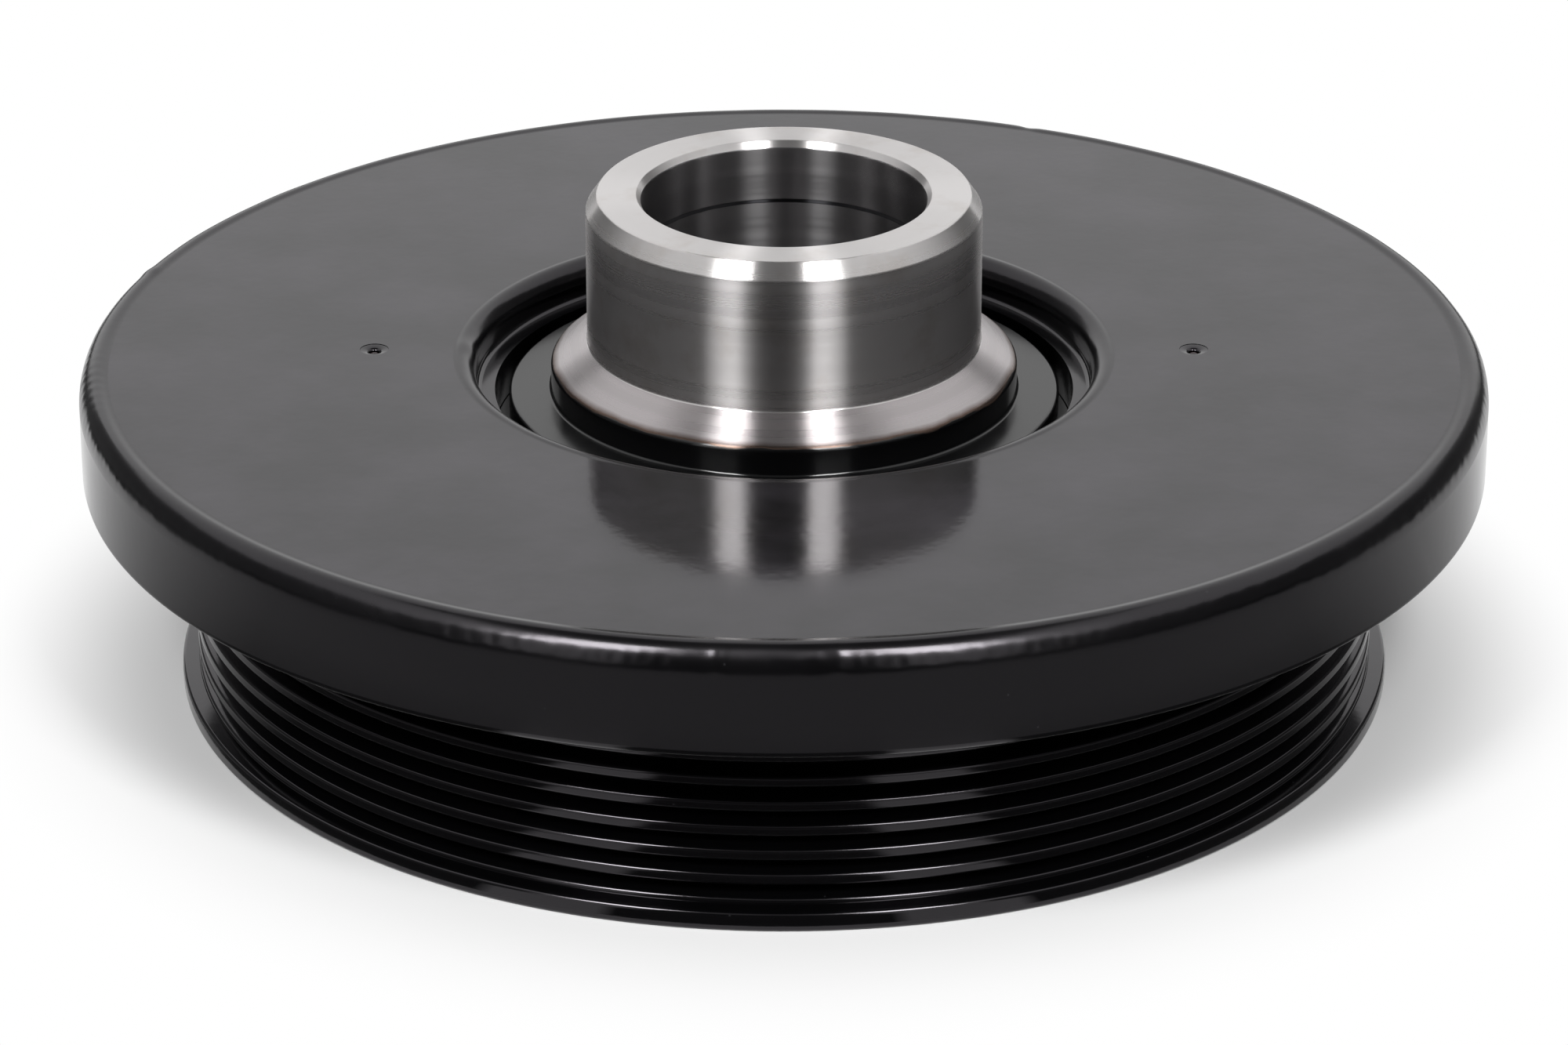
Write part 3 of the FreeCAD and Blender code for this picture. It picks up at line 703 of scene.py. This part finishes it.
# Weld seams: three beads run round the housing. The outer one was dressed to a round shoulder, with a
# crisp toe line, faint ripples and a ragged lower edge; the inner one makes the lip round the hub.
BEAD_STEPS = 1440
outer_crown = (95.4, 46.66)
inner_crown = (45.4, 46.56)
outer_marks = [(-108, 0.9, 0.16), (-5, 0.5, 0.10), (4, 0.6, 0.10), (157, 0.7, -0.22)]
inner_marks = [(-92, 3.0, 0.16)]
stop_azimuth = -84
stop_reach = 9
ripple_spacing = 0.42
lump_scale = 0.11
ragged_scale = 0.8
hub_seam_leg = 3.0


def bead_outline(root, toe, crown, side):
    """A bead's outline: its root corners, a fillet from its toe up to its crown, and a round drop."""
    fillet = ((0.0, 0.0), (0.15, 0.03), (0.3, 0.15), (0.45, 0.36), (0.6, 0.6), (0.75, 0.82), (0.9, 0.96))
    face = [(toe[0] + (crown[0] - toe[0]) * share, toe[1] + (crown[1] - toe[1]) * rise)
            for share, rise in fillet]
    for degrees in range(0, 95, 5):
        turn = math.radians(degrees)
        face.append((crown[0] + (side[0] - crown[0]) * math.sin(turn),
                     side[1] + (crown[1] - side[1]) * math.cos(turn)))
    return root + face


def roughen_bead(piece, centre, radius, ripple, lump, ragged, marks, seed):
    """Moves a bead's round face in or out: slow lumps, a ragged lower side, and ripples by its stop.

    Each mark is a start, stop or chip: its azimuth and width in degrees, and how far it stands out."""
    for point in piece.data.vertices:
        place = point.co
        out = math.hypot(place.x, place.y)
        across = Vector((out / MM - centre[0], place.z / MM - centre[1]))
        if across.length < radius - 0.02:
            continue
        turn = math.atan2(place.x, -place.y)
        rise = math.atan2(across.y, abs(across.x))
        round_place = Vector((math.sin(turn), math.cos(turn), 0)) * centre[0]
        stop = max(0.0, 1 - abs(math.degrees(turn) - stop_azimuth) / stop_reach)
        wave = math.sin(turn * centre[0] / ripple_spacing + 1.5 * math.sin(rise * 2)) * ripple * stop
        slow = noise.noise(round_place * lump_scale + Vector((seed, rise, 5))) * lump
        steps = noise.noise(round_place * ragged_scale + Vector((seed, 9, rise * 2))) * ragged
        middle = math.sin(min(1.0, rise / (math.pi / 2)) * math.pi)
        low = middle * max(0.0, 1 - abs(rise - 0.5) / 0.35)
        local = 0.0
        for azimuth, width, height in marks:
            aside = (math.degrees(turn) - azimuth + 180) % 360 - 180
            local += height * math.exp(-(aside / width) ** 2)
        shift = (wave + slow + local) * middle + steps * low
        way = across.normalized() * shift * MM
        point.co += Vector((way.x * place.x / out, way.x * place.y / out, way.y))


def finish_bead(piece, material):
    """Smooth all over, painted, and part of the root body."""
    bpy.ops.object.select_all(action="DESELECT")
    piece.select_set(True)
    bpy.context.view_layer.objects.active = piece
    bpy.ops.object.shade_smooth_by_angle(angle=math.radians(50))
    piece.data.materials.append(material)
    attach(piece, "root")


bead_paint = gloss_paint("bead_paint", peel_depth=9e-6, roughest=0.28)

outer_root = [(outer_toe, rebate_top), (cover_outer, rebate_top), (cover_outer, damper_top)]
outer_outline = bead_outline(outer_root, (outer_toe, damper_top), outer_crown, (damper_radius, cover_seat))
outer_bead = spin_outline("outer_weld_bead", outer_outline, BEAD_STEPS)
roughen_bead(outer_bead, centre=(outer_toe, cover_seat), radius=4.0, ripple=0.018, lump=0.06, ragged=0.06,
             marks=outer_marks, seed=3.0)
finish_bead(outer_bead, bead_paint)
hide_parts("outer_weld_seam")

inner_root = [(inner_toe, rebate_top), (cover_inner, rebate_top), (cover_inner, damper_top)]
inner_outline = bead_outline(inner_root, (inner_toe, damper_top), inner_crown, (lip_radius, lip_foot))
inner_bead = spin_outline("inner_weld_bead", inner_outline, BEAD_STEPS // 2)
roughen_bead(inner_bead, centre=(inner_toe, lip_foot), radius=3.0, ripple=0.0, lump=0.05, ragged=0.02,
             marks=inner_marks, seed=11.0)
finish_bead(inner_bead, bead_paint)
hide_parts("inner_weld_seam")

hub_bead = spin_outline("hub_weld_bead", [
    (flange_radius, damper_base), (flange_radius, damper_base - hub_seam_leg), (60.9, 28.6), (61.6, 29.2),
    (62.2, 29.9), (62.7, 30.5), (flange_radius + hub_seam_leg, damper_base),
], BEAD_STEPS // 4)
finish_bead(hub_bead, bead_paint)
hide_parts("hub_weld_seam")


# Fill ports: the damper was filled through two holes in its cover, each closed by a steel sleeve with a
# ball driven into it, and painted over. They show as two shallow dimples on opposite sides.
sleeve_base = 42.75
sleeve_floor = 43.45
sleeve_top = 46.44
sleeve_bore = 1.4
ball_radius = 1.35
ball_height = 44.6
ball_maroon = (0.012, 0.004, 0.0045, 1)

sleeve_outline = [
    (0.0, sleeve_base), (port_radius, sleeve_base), (port_radius, sleeve_top, 0.05), (1.0, 46.24, 0.2),
    (0.75, 45.95, 0.08), (sleeve_bore, 45.3), (sleeve_bore, sleeve_floor), (0.0, sleeve_floor),
]
ball_paint = gloss_paint("ball_paint", peel_depth=4e-6, roughest=0.3, colour=ball_maroon)


def fill_port(side, reach):
    """One closed fill port at its distance along X."""
    sleeve = spin_outline("port_sleeve_" + side, sleeve_outline, 64)
    sleeve.data.transform(Matrix.Translation((reach * MM, 0, 0)))
    finish_turned(sleeve)
    bpy.ops.object.select_all(action="DESELECT")
    bpy.ops.mesh.primitive_uv_sphere_add(segments=48, ring_count=24, radius=ball_radius * MM)
    ball = bpy.context.object
    ball.name = "port_ball_" + side
    ball.data.name = ball.name
    bpy.ops.object.mode_set(mode="EDIT")
    bpy.ops.mesh.subdivide(number_cuts=1, smoothness=1.0)
    bpy.ops.object.mode_set(mode="OBJECT")
    ball.data.transform(Matrix.Translation((reach * MM, 0, ball_height * MM)))
    bpy.ops.object.shade_smooth()
    for piece, node, paint in ((sleeve, "fill_sleeve_", face_paint), (ball, "fill_ball_", ball_paint)):
        piece.data.materials.append(paint)
        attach(piece, "root")
        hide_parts(node + side)


fill_port("left", -port_reach)
fill_port("right", port_reach)


# Belt pulley: a rim with six V grooves for the ribbed belt, turned in one piece with the flat web that
# is bolted under the hub. A plain flange guides the belt at the front edge, on which it all stands.
groove_count = 6
groove_pitch = 3.56
groove_first = 4.6
crest_radius = 83.2
root_radius = 80.6
crest_half_gap = 1.1
crest_rounding = 0.36
root_half = 0.125
root_rounding = 0.1
pulley_bore = 30.1
dish_radius = 76.5
guide_radius = 85.5
web_base = 17.2
rim_top = 27.0
dish_round = 2.5
rim_bevel = 1.0
guide_round = 0.5
clearance_radius = 4.5


def pulley_outline():
    """The pulley's outline, with its grooves worked out one by one."""
    outline = [
        (pulley_bore, web_top), (pulley_bore, web_base), (dish_radius, web_base, dish_round),
        (dish_radius, rim_bevel), (dish_radius + rim_bevel, 0.0), (guide_radius, 0.0, guide_round),
        (guide_radius, 2.6, guide_round), (crest_radius, 3.0),
    ]
    for number in range(groove_count):
        middle = groove_first + number * groove_pitch
        outline += [
            (crest_radius, middle - crest_half_gap, crest_rounding),
            (root_radius, middle - root_half, root_rounding),
            (root_radius, middle + root_half, root_rounding),
            (crest_radius, middle + crest_half_gap, crest_rounding),
        ]
    return outline + [
        (crest_radius, rim_top, 0.3), (dish_radius + rim_bevel, rim_top),
        (dish_radius, rim_top - rim_bevel), (dish_radius, web_top, dish_round),
    ]


pulley_paint = gloss_paint("pulley_paint", peel_depth=5e-6, roughest=0.15)

pulley = spin_outline("grooved_pulley", pulley_outline(), TURN_STEPS)
drill(pulley, clearance_radius, bolt_circle, 15.0, 24.0)
finish_turned(pulley)
pulley.data.materials.append(pulley_paint)
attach(pulley, "root")
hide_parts("belt_pulley")


# Pulley bolts: six flange bolts hold the web to the hub, with their heads in the pulley's dish. They
# were painted in place with the rest.
bolt_paint = gloss_paint("bolt_paint", peel_depth=4e-6, roughest=0.22)
for number in range(1, bolt_count + 1):
    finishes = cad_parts["pulley_bolt_%d" % number].data.materials
    finishes.clear()
    finishes.append(bolt_paint)


# Inside the sealed damper: a turned iron inertia ring, centred by a plastic bush and held off the walls
# by two plastic slide rings. None of it shows while the cover is on.
iron_light = (0.30, 0.30, 0.31, 1)
iron_dark = (0.24, 0.235, 0.235, 1)
plastic_light = (0.80, 0.76, 0.66, 1)
plastic_dark = (0.74, 0.69, 0.58, 1)


def turned_iron():
    """Plain turned cast iron with fine rings."""
    material, nodes, links = new_material("turned_iron")
    shader = nodes["Principled BSDF"]
    shader.inputs["Metallic"].default_value = 1.0
    marks = use_group(nodes, turning_marks, Lines_per_Metre=4000.0)
    tone = map_range(nodes, links, marks.outputs["Patches"], 0.3, 0.7, 0.0, 1.0)
    links.new(mix_colour(nodes, links, tone, iron_light, iron_dark), shader.inputs["Base Color"])
    rough = map_range(nodes, links, marks.outputs["Streaks"], 0.3, 0.7, 0.35, 0.45)
    links.new(rough, shader.inputs["Roughness"])
    bump = nodes.new("ShaderNodeBump")
    bump.inputs["Distance"].default_value = 1e-5
    links.new(marks.outputs["Height"], bump.inputs["Height"])
    links.new(bump.outputs["Normal"], shader.inputs["Normal"])
    return material


def slide_plastic():
    """Moulded bearing plastic, off-white, a little mottled."""
    material, nodes, links = new_material("slide_plastic")
    shader = nodes["Principled BSDF"]
    place = nodes.new("ShaderNodeTexCoord").outputs["Object"]
    cloud = add_noise(nodes, links, place, 180.0, 3.0)
    links.new(mix_colour(nodes, links, cloud, plastic_light, plastic_dark), shader.inputs["Base Color"])
    links.new(map_range(nodes, links, cloud, 0.3, 0.7, 0.42, 0.52), shader.inputs["Roughness"])
    return material


iron = turned_iron()
plastic = slide_plastic()
inner_finishes = {
    "inertia_ring": iron, "bearing_bush": plastic, "lower_slide_ring": plastic, "upper_slide_ring": plastic,
}
for node, finish in inner_finishes.items():
    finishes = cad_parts[node].data.materials
    finishes.clear()
    finishes.append(finish)
